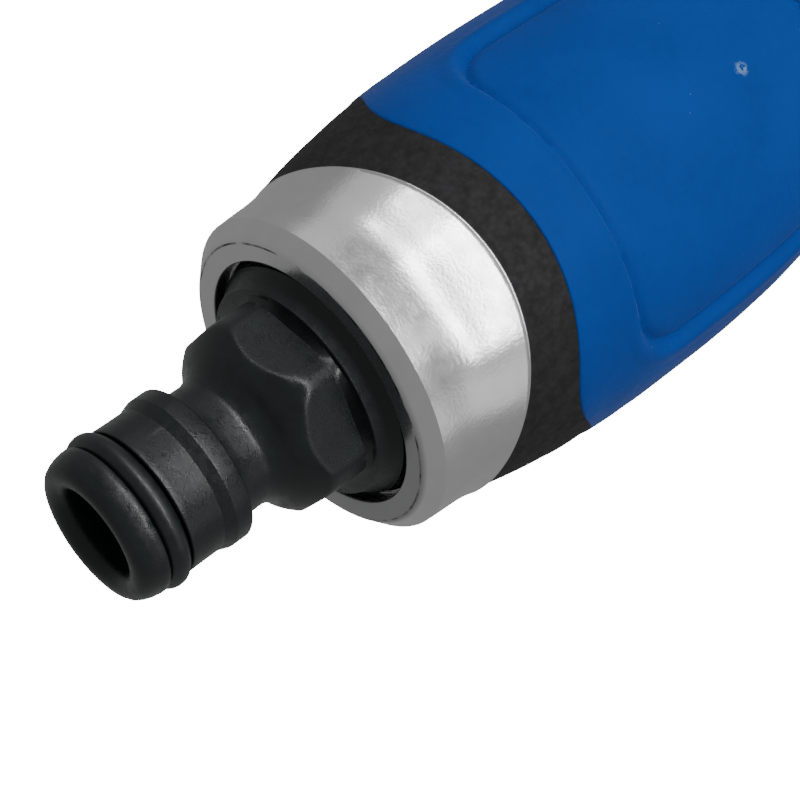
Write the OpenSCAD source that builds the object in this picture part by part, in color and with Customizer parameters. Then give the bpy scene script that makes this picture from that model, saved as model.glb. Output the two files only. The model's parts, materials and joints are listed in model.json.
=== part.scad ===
// Pistol-grip garden hose spray gun with a rotating pattern turret, lying on its side.
// Y runs up the handle from the mouth of the hose tail, X points to the spray side and Z goes across.
// The shape is the same on both sides of the plane z = 0, apart from the pin head and its clip.

/* [Hose tail] */
// Radius of the water bore at the mouth
tail_bore_r = 4.45; // [3.5:0.05:5]
// Radius of the rounded lip in front of the ring groove
tail_lip_r = 7.7; // [7:0.05:8.2]
// Radius of the locking bead
tail_bead_r = 8.08; // [7.8:0.01:8.3]
// Radius of the neck behind the bead
tail_neck_r = 6.8; // [6:0.1:7.4]
// Hexagon across flats
tail_hex_af = 19.1; // [17:0.1:20.4]
// Radius over the hexagon's rounded corners
tail_corner_r = 10.3; // [9.8:0.05:11]
// Radius of the round flange behind the hexagon
tail_flange_r = 11.3; // [10:0.1:12]
// Radial clearance of the tail's shoulder ring in the collar's hole
tail_shoulder_gap = 0.8; // [0.3:0.1:1.5]
// Cross-section radius of the tail's rubber ring
ring_section_r = 1.17; // [0.8:0.01:1.4]
// Outside radius of the tail's rubber ring
ring_outer_r = 8.15; // [7.9:0.01:8.35]

/* [Inlet] */
// Radius of the inlet thread bore, three-quarter inch pipe
inlet_thread_r = 13.2; // [12:0.1:14]
// Radius of the hole in the collar's face
collar_hole_r = 13.3; // [12.5:0.1:14.5]
// Distance from the mouth of the tail to the collar's face
collar_y = 26; // [24:0.5:30]
// Radius of the cylinder that cuts the collar's rear edge into an arch
collar_arch_r = 37.5; // [30:0.5:60]
// Height of the arch at the middle of each broad side
collar_arch_y = 39.6; // [37:0.1:42]

/* [Grip] */
// Outside radius of the hard handle shell under the sleeve
shell_r = 16.5; // [15:0.1:17.5]
// Depth of the inset panel on each broad side
panel_depth = 0.45; // [0:0.05:1]
// Lower edge of the inset panel
panel_y0 = 51.5; // [50:0.5:60]
// Upper edge of the inset panel
panel_y1 = 88; // [70:1:90]
// Height of the sleeve's sloping top edge at the handle's axis
sleeve_top_y = 97; // [94:0.5:100]
// Slope of the sleeve's top edge, rising to the spray side
sleeve_top_tilt = 14; // [8:1:16]
// Thickness of the hard rear cover over the casting's neck at its sides
cover_wall = 3; // [2:0.1:4]
// Half width of the inset panel around the grip
panel_w = 21.6; // [10:0.2:24]

/* [Valve] */
// Height of the valve's axis up the handle
valve_y = 114; // [112:0.5:116]
// Radius of the chamber that the valve works in
chamber_r = 10.5; // [10:0.1:11]
// Radius of the plunger's rod
rod_r = 2.5; // [2:0.1:3]
// Radial running clearance of the rod
rod_play = 0.05; // [0.02:0.01:0.1]
// Radius of the seat's opening
seat_bore_r = 5.5; // [4.5:0.1:6]

/* [Trigger] */
// Distance of the trigger pin from the handle's axis
pivot_x = 31; // [29:0.5:33]
// Height of the trigger pin above the valve's axis
pivot_rise = 21; // [19:0.5:23]
// Radius of the trigger pin
pin_r = 2; // [1.5:0.1:2.5]
// Half width over the trigger's cheeks
trigger_hw = 8.2; // [7:0.1:9]
// Half width of the lug between the cheeks
lug_hw = 5.6; // [4:0.1:6]

/* [Barrel and turret] */
// Height above the valve's axis where the barrel's axis crosses the handle's axis
head_rise = 36; // [34:0.5:39]
// Tilt of the barrel towards the top of the handle
barrel_tilt = 15; // [10:1:20]
// Outside radius of the barrel
barrel_r = 17; // [16:0.1:18]
// Place of the nose face along the barrel
nose_x = 46; // [44:0.5:50]
// Radius of the fixed post that the turret turns on
post_r = 4; // [3.5:0.1:4.5]
// Radial running clearance of the turret on its post
post_play = 0.1; // [0.03:0.01:0.1]
// Radius from the turret's axis to the inlet ports
port_pitch_r = 11; // [10:0.5:12]
// Outside radius of the turret's ribbed ring and bezel
dial_r = 26; // [25:0.5:28]
// Thickness of the ribbed ring and bezel round the turret's cup
dial_ring_t = 2.95; // [2:0.05:4]
// Wall of the turret's cup
dial_cup_t = 1.8; // [1.2:0.1:2.5]
// Outside radius of the flow control knob
knob_r = 15; // [13:0.5:16]

/* [Hidden] */
$fn = 64;
e = 0.05;
collar_arch_cy = collar_arch_y - collar_arch_r;
// Black band to blue sleeve: a broad arch across each broad side, and a round tongue on each edge.
band_arch_r = 52;
band_arch_cy = 44.7 - band_arch_r;
band_tongue_r = 12;
band_tongue_y = 36;
plate_x = nose_x + 16.05;
plug_boss_r = chamber_r + 1.3;
cover_x = -3.5;
cover_r = shell_r + cover_wall;
head_y = valve_y + head_rise;
pivot_y = valve_y + pivot_rise;
// The turret's fits: the cup seats in the ring and bezel, the face plate seats in the cup.
cup_r = dial_r - dial_ring_t - 0.05;
plate_seat_r = cup_r - dial_cup_t;
plate_r = plate_seat_r - 0.1;
hub_hole_r = 6.8;
pattern_r = (plate_r + hub_hole_r)/2 + 0.45;
field_r = (plate_r - hub_hole_r)/2 - 2.55;

// Solids of revolution and cylinders along the three axes.
module yrev(p) rotate([-90, 0, 0]) rotate_extrude() polygon(p);
module xrev(p) rotate([0, 90, 0]) rotate_extrude() polygon(p);
module ycyl(r, y0, y1) rotate([-90, 0, 0]) translate([0, 0, y0]) cylinder(r=r, h=y1 - y0);
module xcyl(r, x0, x1) rotate([0, 90, 0]) translate([0, 0, x0]) cylinder(r=r, h=x1 - x0);
module zcyl(r, h) translate([0, 0, -h]) cylinder(r=r, h=2*h);
module yring(r, s, y) rotate([-90, 0, 0]) translate([0, 0, y]) rotate_extrude()
  translate([r, 0]) circle(r=s, $fn=24);
module xring(r, s, x) rotate([0, 90, 0]) translate([0, 0, x]) rotate_extrude()
  translate([r, 0]) circle(r=s, $fn=24);
module in_valve() translate([0, valve_y, 0]) children();
module in_barrel() translate([0, head_y, 0]) rotate([0, 0, barrel_tilt]) children();
module at_pivot() translate([pivot_x, pivot_y, 0]) children();

// A smooth curve through a list of points, n steps for each span.
function cr(a, b, c, d, t) = 0.5*(2*b + (c - a)*t + (2*a - 5*b + 4*c - d)*t*t
  + (3*b - a - 3*c + d)*t*t*t);
function spline(p, n) = [for (i = [0:len(p) - 2]) for (k = [0:n - 1])
  cr(p[max(i - 1, 0)], p[i], p[i + 1], p[min(i + 2, len(p) - 1)], k/n), p[len(p) - 1]];
function rev(p) = [for (i = [len(p) - 1:-1:0]) p[i]];

// A coil spring along X from x = 0, wire radius w on mean radius r, closed at both ends.
module coil(r, w, len, turns, seg, sides) {
  n = turns*seg;
  pts = [for (i = [0:n]) for (j = [0:sides - 1])
    let (a = 360*i/seg, b = 360*j/sides, q = r + w*cos(b))
    [w + (len - 2*w)*i/n + w*sin(b), q*cos(a), q*sin(a)]];
  side = [for (i = [0:n - 1]) for (j = [0:sides - 1]) let (k = (j + 1) % sides)
    each [[i*sides + j, i*sides + k, (i + 1)*sides + k],
          [i*sides + j, (i + 1)*sides + k, (i + 1)*sides + j]]];
  cap0 = [[for (j = [sides - 1:-1:0]) j]];
  cap1 = [[for (j = [0:sides - 1]) n*sides + j]];
  polyhedron(points=pts, faces=concat(side, cap0, cap1));
}

// ---------------------------------------------------------------- hose end

module tail_rings() for (k = [0:4]) yrev([[11, 29.4 + 2.5*k], [12.9, 29.4 + 2.5*k],
  [13.1, 29.7 + 2.5*k], [13.1, 30.3 + 2.5*k], [12.2, 31 + 2.5*k], [11, 31 + 2.5*k]]);

module hose_tail() color([0.05, 0.05, 0.055]) difference() {
  union() {
    yrev([[0, 0], [6.2, 0], [6.8, 0.14], [7.2, 0.45], [7.45, 1], [7.62, 1.8], [tail_lip_r, 2.95],
      [ring_outer_r - 2*ring_section_r - 0.03, 2.95], [ring_outer_r - 2*ring_section_r - 0.03, 5.5],
      [7.67, 5.5], [7.63, 6.2], [7.63, 9.15], [tail_bead_r, 10.3], [tail_bead_r, 12.2],
      [tail_neck_r + 0.15, 12.3], [tail_neck_r, 13.3], [tail_neck_r, 15.6], [7.05, 16.3],
      [7.7, 17.1], [8.5, 17.8], [8.5, 24], [0, 24]]);
    intersection() {
      rotate([-90, 0, 0]) translate([0, 0, 17.4]) rotate([0, 0, 30])
        cylinder(r=tail_hex_af/2/cos(30), h=7.2, $fn=6);
      yrev([[0, 17.4], [8.2, 17.4], [9.3, 18.2], [tail_corner_r - 0.2, 19.1], [tail_corner_r, 19.7],
        [tail_corner_r, 25], [0, 25]]);
    }
    yrev([[0, 24.4], [tail_flange_r - 0.4, 24.4], [tail_flange_r, 24.8], [tail_flange_r, 26.8],
      [collar_hole_r - tail_shoulder_gap - 0.3, 26.8], [collar_hole_r - tail_shoulder_gap, 27.1],
      [collar_hole_r - tail_shoulder_gap, 28.2], [11.3, 28.4], [11.3, 29.2], [12.2, 29.4],
      [12.2, 41.6], [11.8, 42], [0, 42]]);
    tail_rings();
  }
  yrev([[0, -1], [tail_bore_r + 1.4, -1], [tail_bore_r, 0.4], [tail_bore_r, 20], [8.5, 24.5],
    [8.5, 43], [0, 43]]);
}

module tail_o_ring() color([0.03, 0.03, 0.03])
  yring(ring_outer_r - ring_section_r, ring_section_r, 4.2);

module inlet_strainer() color([0.75, 0.75, 0.77]) difference() {
  union() {
    ycyl(8.2, 35, 42.5);
    ycyl(12.6, 42.05, 42.5);
  }
  ycyl(7.7, 35.5, 43);
  for (a = [0:45:315]) rotate([0, a, 0]) translate([5.3, 0, 0]) ycyl(1.1, 34, 36);
  for (a = [0:90:270]) rotate([0, a, 0]) translate([2.2, 0, 0]) ycyl(1.1, 34, 36);
}

module inlet_washer() color([0.06, 0.06, 0.06]) difference() {
  ycyl(12.9, 42.55, 44.7);
  ycyl(8.4, 42, 45);
}

module end_collar() color([0.78, 0.78, 0.79]) difference() {
  intersection() {
    yrev([[collar_hole_r, collar_y], [15.4, collar_y], [16.1, 26.25], [16.6, 26.8], [16.85, 27.4],
      [17.02, 28.1], [17.31, 30], [17.54, 31.5], [17.95, 33.5], [18.58, 36.5], [19, 38.5],
      [19.4, 40.5], [14, 40.5], [collar_hole_r, 40.5]]);
    translate([0, collar_arch_cy, 0]) zcyl(collar_arch_r, 30);
  }
  ycyl(15.1 + e, 28, 45);
}

// ---------------------------------------------------------------- handle

module band_zone(g) union() {
  translate([0, band_arch_cy, 0]) zcyl(band_arch_r - g, 30);
  translate([0, band_tongue_y, 0]) xcyl(band_tongue_r - g, -30, 30);
}

module handle_shell() color([0.04, 0.04, 0.045]) difference() {
  union() {
    intersection() {
      translate([-0.15, 0, 0]) yrev([[0, 33], [17.6, 33], [18.05, 35], [18.5, 37], [19.1, 40],
        [19.45, 42.2], [19.8, 44.4], [20.05, 46.7], [20.15, 49], [0, 49]]);
      band_zone(0.03);
    }
    ycyl(shell_r, 40.2, 85.9);
  }
  translate([0, collar_arch_cy, 0]) zcyl(collar_arch_r + 0.03, 30);
  ycyl(15.1 + e, 30, 46.6);
  ycyl(12.5 + e, 46, 90);
}

// Sleeve sections: height, half width to the back, half width to the front, half width across.
sleeve_cuts = [[38, 19.0, 18.7, 18.85], [44.4, 19.98, 19.65, 19.7], [47.5, 20.35, 19.85, 19.75],
  [50.4, 20.6, 20.1, 19.6], [51.5, 20.65, 20.15, 19.55], [52.6, 20.7, 20.2, 19.5],
  [54.5, 20.8, 20.3, 19.4], [57, 20.9, 20.35, 19.3], [61, 21, 20.4, 19.25],
  [66, 21, 20.4, 19.2], [70.5, 20.95, 20.25, 19.1], [75.8, 20.85, 19.9, 18.95],
  [81.3, 20.7, 19.25, 18.8], [85, 20.6, 18.9, 18.7], [86.9, 20.55, 18.75, 18.65],
  [88, 20.55, 18.7, 18.6], [89.1, 20.5, 18.7, 18.6], [94, 20.5, 18.7, 18.5],
  [99, 20.5, 18.9, 18.5], [106, 20.6, 19.4, 18.5]];
sleeve_az = [0, 15, 30, 42, 51, 57, 60.5, 63.5, 68, 75, 83];
sleeve_ring = concat(sleeve_az, [90], [for (a = rev(sleeve_az)) 180 - a],
  [for (a = [for (i = [1:10]) sleeve_az[i]]) 180 + a], [270],
  [for (i = [10:-1:1]) 360 - sleeve_az[i]]);
// Distance outside the rounded outline of the inset panel, from arc length s and height y.
function panel_d(s, y) = let (c = 6, m = (panel_y0 + panel_y1)/2, h = (panel_y1 - panel_y0)/2,
  a = abs(s) - (panel_w - c), b = abs(y - m) - (h - c))
  (a > 0 && b > 0 ? sqrt(a*a + b*b) : max(a, b)) - c;
function step(t) = let (u = max(0, min(1, t))) u*u*(3 - 2*u);
function inset(a, y) = let (f = a > 90 ? (a > 270 ? 360 - a : abs(180 - a)) : a)
  panel_depth*step(0.5 - panel_d(20*f*PI/180, y)/1.8);

module above_sleeve(g) translate([0, sleeve_top_y + g, 0]) rotate([0, 0, sleeve_top_tilt])
  children();

module sleeve_loft() {
  n = len(sleeve_ring);
  m = len(sleeve_cuts);
  pts = [for (c = sleeve_cuts) for (a = sleeve_ring) let (g = inset(a, c[0]))
    [sin(a) > 0 ? (c[2] - g)*sin(a) : (c[1] - g)*sin(a), c[0], (c[3] - g)*cos(a)]];
  side = [for (i = [0:m - 2]) for (j = [0:n - 1]) let (k = (j + 1) % n)
    each [[i*n + j, i*n + k, (i + 1)*n + k], [i*n + j, (i + 1)*n + k, (i + 1)*n + j]]];
  cap0 = [[for (j = [n - 1:-1:0]) j]];
  cap1 = [[for (j = [0:n - 1]) (m - 1)*n + j]];
  polyhedron(points=pts, faces=concat(side, cap0, cap1));
}

module grip_sleeve() color([0.05, 0.31, 0.6]) difference() {
  sleeve_loft();
  translate([-0.8, 74.4, 18.9]) sphere(r=0.65, $fn=24);
  ycyl(shell_r + e, 30, 120);
  band_zone(0);
  translate([0, 30, -30]) mirror([0, 1, 0]) cube([60, 60, 60]);
  above_sleeve(0) translate([-40, 0, -30]) cube([80, 30, 60]);
}

// ---------------------------------------------------------------- casting

module casting_outside() union() {
  yrev([[0, 28], [15.1, 28], [15.1, 46.4], [12.5, 46.4], [12.5, 86], [shell_r, 88.2],
    [shell_r, 150], [0, 150]]);
  in_valve() xcyl(plug_boss_r, -16.6, 0);
  in_valve() xrev([[0, 0], [12.2, 0], [12.2, 16.5], [11.4, 21], [0, 21]]);
  in_barrel() xrev([[0, -24], [16, -24], [barrel_r, -23], [barrel_r, 18], [16.4, 21.5], [15.7, 26],
    [15.5, 30], [15.7, 33], [16.6, 36], [18.4, 39], [20.2, 41], [20.6, 42], [20.6, nose_x - 0.6],
    [20, nose_x], [post_r, nose_x], [post_r, nose_x + 14.4], [0, nose_x + 14.4]]);
  at_pivot() zcyl(5, lug_hw);
  in_barrel() translate([0, 0, -lug_hw]) linear_extrude(2*lug_hw)
    polygon([[19.5, -14], [31.6, -14], [30.9, -22.5], [21.2, -22.5]]);
}

module casting_water() {
  ycyl(inlet_thread_r, 27, 44.75);
  ycyl(7.5, 44, 96);
  translate([-9, 0, 0]) ycyl(5, 89, valve_y);
  in_valve() xcyl(chamber_r, -17, 2);
  in_valve() xcyl(7, 1, 14.5);
  in_valve() xcyl(8, 14, 22);
  translate([8.5, 0, 0]) ycyl(4.5, valve_y, 143);
  in_barrel() xcyl(11, -25, 15.3);
  in_barrel() xcyl(9, 15, 30.5);
  in_barrel() xcyl(13, 30, 38);
  in_barrel() translate([0, port_pitch_r, 0]) xcyl(3.2, 37, 41);
  in_barrel() translate([0, port_pitch_r, 0]) xcyl(4.7, 40.5, nose_x + 1);
}

module body_casting() color([0.74, 0.74, 0.76]) difference() {
  casting_outside();
  casting_water();
  in_barrel() translate([0, -16.5, 0]) xcyl(2.1, 39.6, nose_x + 1);
  in_barrel() xcyl(1.9, nose_x + 2, nose_x + 15);
  in_barrel() translate([43.8, 0, 0]) ycyl(1, 17.4, 22);
  at_pivot() zcyl(pin_r + 0.05, 10);
  for (z = [-6, 6]) translate([-17, sleeve_top_y, z]) xcyl(1.3, 0, 7);
}

module index_pin() color([0.9, 0.9, 0.88]) in_barrel() translate([43.8, 0, 0])
  yrev([[0, 17.5], [0.95, 17.5], [0.95, 20.9], [0.7, 21.15], [0, 21.15]]);

// ---------------------------------------------------------------- valve

module valve_seat() color([0.8, 0.62, 0.3]) in_valve()
  xrev([[seat_bore_r, -1], [6.6, -1], [7, -0.5],
    [chamber_r - 0.05, -0.5], [chamber_r - 0.05, 1.95], [seat_bore_r, 1.95]]);

module chamber_plug() color([0.72, 0.72, 0.74]) in_valve() difference() {
  xrev([[0, -18.1], [chamber_r + 0.7, -18.1], [chamber_r + 1, -17.8], [chamber_r + 1, -16.65],
    [chamber_r - 0.1, -16.65], [chamber_r - 0.1, -16.4], [chamber_r - 1.5, -16.4],
    [chamber_r - 1.5, -14.6], [chamber_r - 0.1, -14.6], [chamber_r - 0.1, -12.5], [0, -12.5]]);
  xcyl(7.2, -15.5, -12);
  translate([-18.5, -5, -1]) cube([1.3, 10, 2]);
}

module plug_o_ring() color([0.03, 0.03, 0.03]) in_valve()
  xring(chamber_r - 0.76, 0.7, -15.5);

module valve_spring() color([0.8, 0.8, 0.82]) in_valve() translate([-15.45, 0, 0])
  coil(5.4, 0.45, 9.4, 5, 14, 6);

module gland_nut() color([0.8, 0.62, 0.3]) in_valve() difference() {
  union() {
    xrev([[0, 14.6], [7.6, 14.6], [7.95, 15], [7.95, 22], [0, 22]]);
    intersection() {
      rotate([0, 90, 0]) translate([0, 0, 21.05]) rotate([0, 0, 30])
        cylinder(r=8.2/cos(30), h=4, $fn=6);
      xrev([[0, 21], [9.5, 21], [9.5, 24.2], [8, 25], [0, 25]]);
    }
  }
  xcyl(rod_r + rod_play, 10, 30);
  xcyl(4.7, 14, 17);
}

module gland_o_ring() color([0.03, 0.03, 0.03]) in_valve() xring(3.6, 1.03, 15.9);

module valve_plunger() color([0.82, 0.66, 0.34]) in_valve()
  xrev([[0, -8.2], [2.8, -8.2], [3.2, -7.8], [3.2, -6], [7, -6], [7, -4.15], [rod_r, -4.15],
    [rod_r, -1.02], [4.4, -1.02], [4.4, 0.2], [rod_r, 1.2], [rod_r, 31.6], [2.1, 32], [0, 32]]);

module plunger_seal() color([0.05, 0.05, 0.05]) in_valve()
  xrev([[rod_r + 0.02, -4.12], [7.4, -4.12], [7.6, -3.9], [7.6, -1.3], [7.4, -1.05],
    [rod_r + 0.02, -1.05]]);

module plunger_cap() color([0.9, 0.9, 0.87]) in_valve()
  xrev(concat([[rod_r + 0.02, 32.05], [rod_r + 0.02, 29.5], [4.7, 29.5]],
    [for (a = [80:-10:0]) [5*sin(a), 29 + 5*cos(a)]], [[0, 32.05]]));

module rear_cover() color([0.05, 0.05, 0.055]) difference() {
  intersection() {
    translate([cover_x, 0, 0]) yrev([[0, sleeve_top_y - 9], [cover_r - 0.3, sleeve_top_y - 9],
      [cover_r, sleeve_top_y + 1], [cover_r, head_y - 24], [cover_r - 0.5, head_y - 16],
      [cover_r - 1.2, head_y - 12], [0, head_y - 12]]);
    translate([-cover_r - 15, 80, -30]) cube([cover_r + 10.5, 70, 60]);
  }
  ycyl(shell_r + e, 80, 150);
  in_valve() xcyl(plug_boss_r + e, -18.3, 0);
  in_barrel() xcyl(barrel_r + e, -40, 30);
  above_sleeve(0.05) translate([-60, -40, -30]) cube([100, 40, 60]);
  for (z = [-6, 6]) translate([0, sleeve_top_y, z]) {
    xcyl(1.6, -30, -10);
    xcyl(3.1, -30, -18.9);
  }
}

module cover_screws() color([0.7, 0.7, 0.72]) for (z = [-6, 6]) translate([0, sleeve_top_y, z])
  difference() {
    xrev([[0, -20.3], [2.2, -20.3], [2.8, -19.9], [2.8, -18.92], [1.25, -18.92], [1.25, -11],
      [0, -10.5]]);
    translate([-20.8, -1.6, -0.3]) cube([1.3, 3.2, 0.6]);
    translate([-20.8, -0.3, -1.6]) cube([1.3, 0.6, 3.2]);
  }

// ---------------------------------------------------------------- trigger

// The trigger's outer and inner lines, from its pin down to its tip.
tf = spline([[5.4, 2.2], [8.4, -3.6], [10.6, -11], [11, -19], [10.2, -28], [9.6, -37],
  [10.4, -46], [13, -54], [17, -59.7], [22, -62.4]], 4);
ti = spline([[-5.6, -1.6], [-1.7, -8.5], [0.6, -15], [1, -23], [1.2, -31], [2.4, -39],
  [5, -46], [8.8, -52.8], [13.8, -59.4], [20.6, -64.1]], 4);
trigger_wall = 2.3;

module trigger() color([0.74, 0.74, 0.76]) at_pivot() difference() {
  union() {
    translate([0, 0, -trigger_hw]) linear_extrude(2*trigger_hw) polygon(concat(tf, rev(ti)));
    zcyl(5.9, trigger_hw);
    translate([21.3, -63.25, 0]) zcyl(1.1, trigger_hw);
  }
  difference() {
    translate([0, 0, -6]) linear_extrude(12) polygon(concat([[16, 8], [16, -4.4]],
      [for (p = tf) if (p[1] > -56 && p[1] < -4.4) [p[0] - trigger_wall, p[1]]],
      [[10.8, -56], [-1, -56]], [[-11, -35], [-11, 8]]));
    translate([3.3, -pivot_rise - 5, -7]) cube([10, 10, 14]);
  }
  zcyl(pin_r + 0.1, 20);
}

module trigger_pad() color([0.05, 0.31, 0.6]) at_pivot() difference() {
  intersection() {
    translate([0, 0, -6.6]) linear_extrude(13.2)
      polygon(concat([for (p = tf) [p[0] + 1.8, p[1] + 0.3]], rev([for (p = tf) [p[0] + 0.03, p[1]]])));
    translate([-1, -55.5, -10]) cube([30, 38.5, 20]);
  }
  for (p = [[12.35, -50], [11.65, -44], [11.45, -38], [11.7, -32], [12.3, -26], [12.8, -20.5]])
    translate(p) zcyl(0.7, 10);
}

module trigger_pin() color([0.8, 0.8, 0.82]) at_pivot() rotate_extrude()
  polygon([[0, -10], [pin_r - 0.3, -10], [pin_r, -9.7], [pin_r, -9.35], [1.5, -9.35],
    [1.5, -8.45], [pin_r, -8.45], [pin_r, 8.3], [3.4, 8.3], [3.4, 9.1], [2.8, 9.6], [0, 9.6]]);

module pin_clip() color([0.6, 0.6, 0.62]) at_pivot() difference() {
  translate([0, 0, -9.3]) cylinder(r=3.7, h=0.8);
  translate([0, 0, -9.4]) cylinder(r=1.55, h=1);
  translate([-1.4, -5, -9.4]) cube([2.8, 5, 1]);
}

// ---------------------------------------------------------------- flow control

module flow_gland() color([0.74, 0.74, 0.76]) in_barrel() difference() {
  xrev([[0, -27], [13.6, -27], [14.4, -26.4], [14.4, -24.05], [10.9, -24.05], [10.9, -16.6],
    [0, -16.6]]);
  xcyl(5.1, -30, -15);
}

module flow_plug() color([0.82, 0.66, 0.34]) in_barrel() difference() {
  xrev([[0, -38], [4.6, -38], [5, -37.6], [5, -16.4], [10.6, -16.4], [10.9, -16.1],
    [10.9, -13.2], [8.95, -13.2], [8.95, -10.8], [10.9, -10.8], [10.9, 15], [0, 15]]);
  xcyl(7.5, -9, 16);
  translate([6.4, 0, 0]) ycyl(5.5, -12, 0);
  translate([-39, 3.6, -6]) cube([10.5, 3, 12]);
  xcyl(1.9, -39, -26);
}

module flow_o_ring() color([0.03, 0.03, 0.03]) in_barrel() xring(9.95, 0.97, -12);

module flow_knob() color([0.05, 0.05, 0.055]) in_barrel() difference() {
  union() {
    xrev([[0, -42], [12.6, -42], [14, -41.4], [knob_r - 0.3, -40.2], [knob_r, -38.5],
      [knob_r, -29], [knob_r - 0.6, -27.4], [0, -27.4]]);
    translate([-41, 0, -1.5]) cube([12, knob_r + 1.6, 3]);
  }
  for (k = [1:9]) rotate([36*k, 0, 0]) translate([-43, knob_r + 2.6, 0]) xcyl(3.6, 0, 20);
  difference() {
    xcyl(5.06, -38.1, -27);
    translate([-39, 3.7, -6]) cube([10.4, 3, 12]);
  }
  xcyl(2.1, -45, -30);
  xcyl(4.2, -45, -40);
}

module knob_screw() color([0.7, 0.7, 0.72]) in_barrel() difference() {
  xrev([[0, -42], [2.8, -42], [3.8, -41.3], [3.8, -40.05], [1.85, -40.05], [1.85, -28], [0, -27]]);
  translate([-43, -2.2, -0.4]) cube([1.9, 4.4, 0.8]);
  translate([-43, -0.4, -2.2]) cube([1.9, 0.8, 4.4]);
}

// ---------------------------------------------------------------- turret

module outlet_seal() color([0.05, 0.05, 0.05]) in_barrel() translate([0, port_pitch_r, 0])
  xrev([[3.1, 43], [4.6, 43], [4.6, nose_x - 0.4], [4.1, nose_x + 0.33], [3.1, nose_x + 0.33]]);

module seal_spring() color([0.8, 0.8, 0.82]) in_barrel() translate([40.55, port_pitch_r, 0])
  coil(3.9, 0.3, 2.4, 3, 12, 5);

module detent_ball() color([0.8, 0.8, 0.82]) in_barrel() translate([nose_x - 0.6, -16.5, 0])
  sphere(r=2);

module detent_spring() color([0.8, 0.8, 0.82]) in_barrel() translate([39.65, -16.5, 0])
  coil(1.5, 0.25, 3.7, 5, 10, 5);

module pivot_washer() color([0.8, 0.8, 0.82]) in_barrel() difference() {
  xcyl(6, nose_x + 14.43, nose_x + 15.2);
  xcyl(2.1, nose_x + 14, nose_x + 16);
}

module pivot_screw() color([0.7, 0.7, 0.72]) in_barrel() difference() {
  xrev([[0, nose_x + 3], [1.4, nose_x + 3], [1.85, nose_x + 3.6], [1.85, nose_x + 15.24],
    [4.4, nose_x + 15.24], [4.4, nose_x + 16.8], [3.4, nose_x + 17.9], [0, nose_x + 18.2]]);
  translate([nose_x + 16.6, -2.4, -0.45]) cube([2, 4.8, 0.9]);
  translate([nose_x + 16.6, -0.45, -2.4]) cube([2, 0.9, 4.8]);
}

module dial_body() color([0.05, 0.05, 0.055]) in_barrel() translate([nose_x, 0, 0])
  difference() {
    union() {
      difference() {
        xrev([[0, 0.4], [dial_r - 1.8, 0.4], [dial_r - 1.1, 1], [dial_r - 1.1, 2.3], [cup_r, 2.3],
          [cup_r, 20], [0, 20]]);
        difference() {
          xcyl(plate_seat_r, 4.9, 21);
          xcyl(8, 4, 16);
        }
      }
      for (k = [0:7]) rotate([45*k + 22.5, 0, 0]) translate([4.8, 7, -0.8]) cube([11.2, 14.6, 1.6]);
    }
    xcyl(post_r + post_play, -1, 20);
    xcyl(6.5, 14, 17);
    for (k = [0:7]) rotate([45*k, 0, 0]) translate([0, port_pitch_r, 0]) xcyl(3, 0, 6);
    xring(16.5, 2.2, -0.6);
    for (k = [0:7]) rotate([45*k, 0, 0]) translate([-0.1, -16.5, 0]) sphere(r=2.2, $fn=24);
  }

// Holes of the eight outlets, along X through the plate, each round its own pattern's middle.
module hole(r, y, z) translate([-1, y, z]) xcyl(r, 0, 9);
module ring_of(n, r, d) for (i = [0:n - 1]) hole(r, d*cos(360*i/n), d*sin(360*i/n));
module slot(len, w) translate([-1, -len/2, -w/2]) cube([9, len, w]);
module outlet(k) rotate([45*k, 0, 0]) translate([0, pattern_r, 0]) children();

module face_plate() color([0.07, 0.07, 0.075]) in_barrel() translate([plate_x, 0, 0])
  difference() {
    union() {
      xrev([[hub_hole_r, 0], [plate_r, 0], [plate_r, 3.3], [plate_r - 0.5, 3.6],
        [hub_hole_r + 0.4, 3.6], [hub_hole_r, 3.2]]);
      outlet(0) xrev([[0, 3], [field_r - 0.2, 3], [field_r - 0.8, 5], [0, 5]]);
      outlet(4) xrev([[0, 3], [field_r + 0.2, 3], [field_r - 0.2, 4.3], [0, 4.3]]);
    }
    outlet(0) hole(2.4, 0, 0);
    outlet(1) hole(0.55, 0, 0);
    outlet(1) ring_of(4, 0.55, field_r - 2.7);
    outlet(1) ring_of(8, 0.55, field_r - 0.7);
    outlet(2) slot(1.3, 9);
    outlet(2) rotate([0, 0, 0]) translate([2.2, -1.5, -5]) cube([3, 3, 10]);
    outlet(3) hole(1, 0, 0);
    outlet(3) ring_of(6, 0.75, field_r - 1.3);
    outlet(4) ring_of(3, 1.3, field_r - 2.2);
    outlet(5) hole(1.15, 0, 0);
    outlet(5) ring_of(6, 1.15, field_r - 1.1);
    outlet(6) slot(8.4, 1.3);
    outlet(6) translate([2.2, -4.8, -1.5]) cube([3, 9.6, 3]);
    outlet(7) ring_of(8, 0.85, field_r - 0.9);
    outlet(7) difference() {
      translate([2.9, 0, 0]) xcyl(2.4, 0, 2);
      translate([2, 0, 0]) xcyl(1.4, 0, 4);
    }
  }

module nozzle_inserts() color([0.8, 0.62, 0.3]) in_barrel() translate([plate_x, 0, 0]) {
  outlet(0) xrev([[1.7, 0.2], [2.35, 0.2], [2.35, 5.05], [3, 5.05], [3, 5.7], [1.2, 5.7],
    [1.2, 3]]);
  outlet(4) for (i = [0:2]) rotate([120*i, 0, 0]) translate([0, field_r - 2.2, 0])
    xrev([[0.8, 0.3], [1.25, 0.3], [1.25, 4.7], [0.5, 4.7], [0.5, 3]]);
}

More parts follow.
